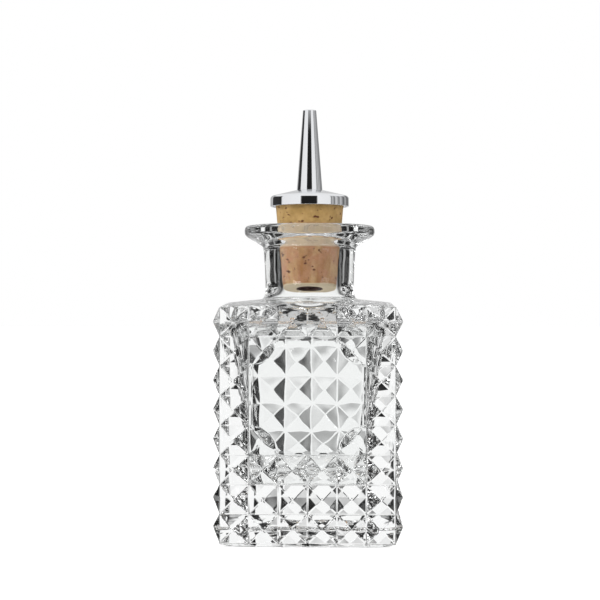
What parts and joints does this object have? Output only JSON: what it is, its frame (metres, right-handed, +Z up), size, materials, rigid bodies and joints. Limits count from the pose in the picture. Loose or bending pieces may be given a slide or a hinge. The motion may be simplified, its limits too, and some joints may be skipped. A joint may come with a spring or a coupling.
{
  "type": "bitters bottle",
  "caption": "Square clear glass bottle covered in small pyramids, with a flared neck, a tapered cork and a domed metal cap that carries a narrow dasher spout.",
  "frame": {"origin": "centre of the base, on the surface that the bottle stands on", "axes": "+Z up along the neck and the spout, -Y out of the plain front panel, +X to the right seen from the front"},
  "size_m": [0.0602, 0.0602, 0.1404],
  "materials": {
    "glass": "clear pressed glass, fire polished",
    "cork": "natural cork, ground smooth, with pores",
    "cap_metal": "pressed sheet, mirror chrome",
    "spout_metal": "turned, mirror chrome"
  },
  "bodies": {
    "bottle": {"glass_bottle": "glass"},
    "stopper": {"cork_stopper": "cork", "dasher_cap": "cap_metal", "dasher_spout": "spout_metal"}
  },
  "joints": [
    {"name": "stopper_lift", "type": "slide", "parent": "bottle", "child": "stopper", "axis": [0, 0, 1], "range_m": [0, 0.035]}
  ]
}
